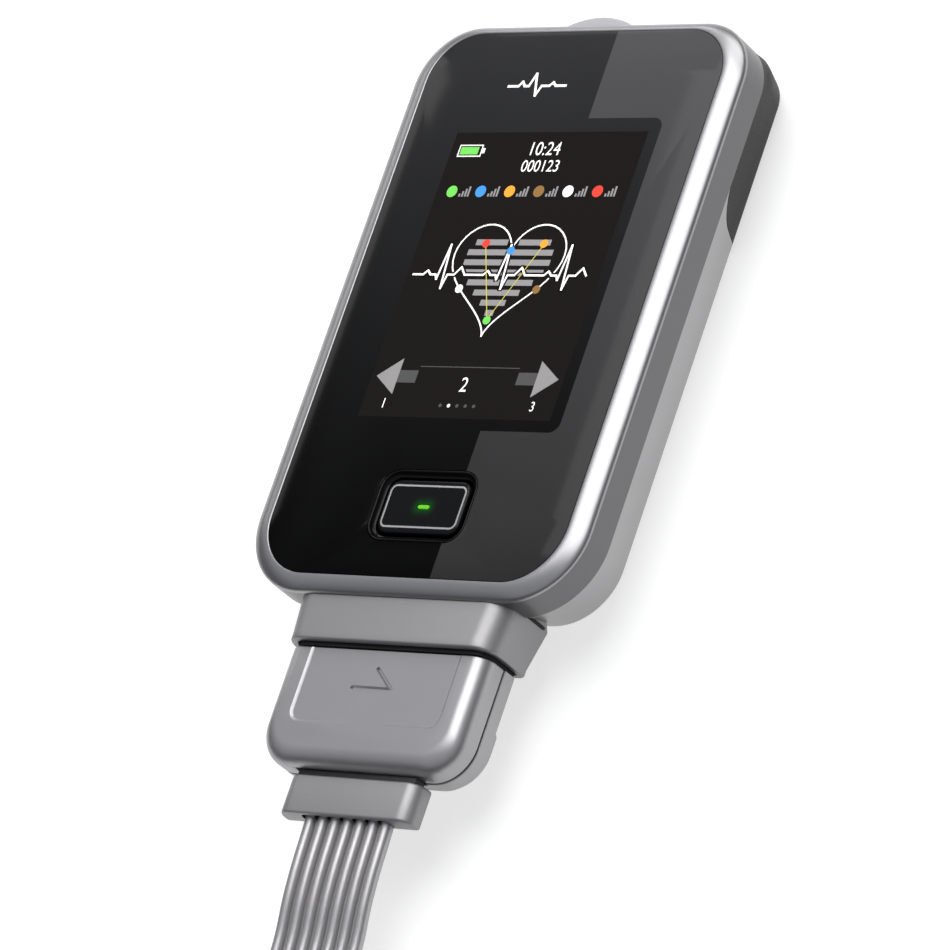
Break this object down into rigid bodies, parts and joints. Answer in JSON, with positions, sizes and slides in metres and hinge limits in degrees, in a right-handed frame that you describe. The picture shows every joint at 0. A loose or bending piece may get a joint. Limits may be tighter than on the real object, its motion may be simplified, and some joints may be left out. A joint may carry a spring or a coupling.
{
  "type": "ecg recorder",
  "caption": "Pocket ECG recorder with a tapered silver case, a glossy two-tone front, a slide-off battery cover and a plugged-in patient cable rolled up beside it.",
  "frame": {"origin": "on the surface that the recorder lies on, under the middle of its outline without the cable", "axes": "+Z out of the display, +Y towards the battery end, +X to the reader's right"},
  "size_m": [0.0836, 0.2569, 0.0191],
  "materials": {
    "silver_paint": "satin",
    "black_plastic": "satin",
    "glass_black": "gloss",
    "gloss_black": "gloss",
    "pale_key": "satin",
    "green_light": "gloss",
    "board_green": "satin",
    "steel": "satin",
    "gold_plate": "satin",
    "cell_jacket": "gloss",
    "black_rubber": "matt",
    "flex_film": "satin",
    "grey_jacket": "satin",
    "snap_red": "satin",
    "snap_white": "satin",
    "snap_brown": "satin",
    "snap_black": "satin",
    "snap_orange": "satin",
    "snap_blue": "satin",
    "snap_green": "satin"
  },
  "bodies": {
    "recorder": {"front_shell": "silver_paint", "back_shell": "silver_paint", "front_plate": "glass_black", "display_module": "gloss_black", "display_flex": "flex_film", "button_bezel": "gloss_black", "front_switch": "steel", "status_led": "green_light", "event_switch": "black_plastic", "main_board": "board_green", "shield_can": "steel", "buzzer": "black_plastic", "battery_cell": "cell_jacket", "battery_spring": "steel", "battery_contact": "steel", "case_screw_1": "steel", "case_screw_2": "steel", "case_screw_3": "steel", "case_screw_4": "steel", "socket_collar": "silver_paint", "collar_seal": "black_rubber", "socket_block": "black_plastic", "socket_pins": "gold_plate"},
    "front_button_body": {"front_button": "gloss_black", "button_light_bar": "green_light", "front_switch_plunger": "black_plastic"},
    "event_button_body": {"event_button": "pale_key"},
    "battery_cover_body": {"battery_cover": "black_plastic"},
    "patient_cable": {"plug_front_shell": "silver_paint", "plug_rear_shell": "silver_paint", "plug_tongue": "black_plastic", "plug_seal": "black_rubber", "cable_yoke": "grey_jacket", "lead_red": "grey_jacket", "coil_red": "grey_jacket", "snap_red": "snap_red", "lead_white": "grey_jacket", "coil_white": "grey_jacket", "snap_white": "snap_white", "lead_brown": "grey_jacket", "coil_brown": "grey_jacket", "snap_brown": "snap_brown", "lead_black": "grey_jacket", "coil_black": "grey_jacket", "snap_black": "snap_black", "lead_orange": "grey_jacket", "coil_orange": "grey_jacket", "snap_orange": "snap_orange", "lead_blue": "grey_jacket", "coil_blue": "grey_jacket", "snap_blue": "snap_blue", "lead_green": "grey_jacket", "coil_green": "grey_jacket", "snap_green": "snap_green", "cable_tie": "black_rubber"}
  },
  "joints": [
    {"name": "front_button_press", "type": "slide", "parent": "recorder", "child": "front_button_body", "axis": [0, 0, -1], "range_m": [0, 0.0008], "stiffness_N_per_m": 900, "springref_m": -0.0004},
    {"name": "event_button_press", "type": "slide", "parent": "recorder", "child": "event_button_body", "axis": [0, -1, 0], "range_m": [0, 0.0008], "stiffness_N_per_m": 900, "springref_m": -0.0004},
    {"name": "battery_cover_slide", "type": "slide", "parent": "recorder", "child": "battery_cover_body", "axis": [0, 1, 0], "range_m": [0, 0.036]},
    {"name": "plug_pull", "type": "slide", "parent": "recorder", "child": "patient_cable", "axis": [0, -1, 0], "range_m": [0, 0.016]}
  ]
}
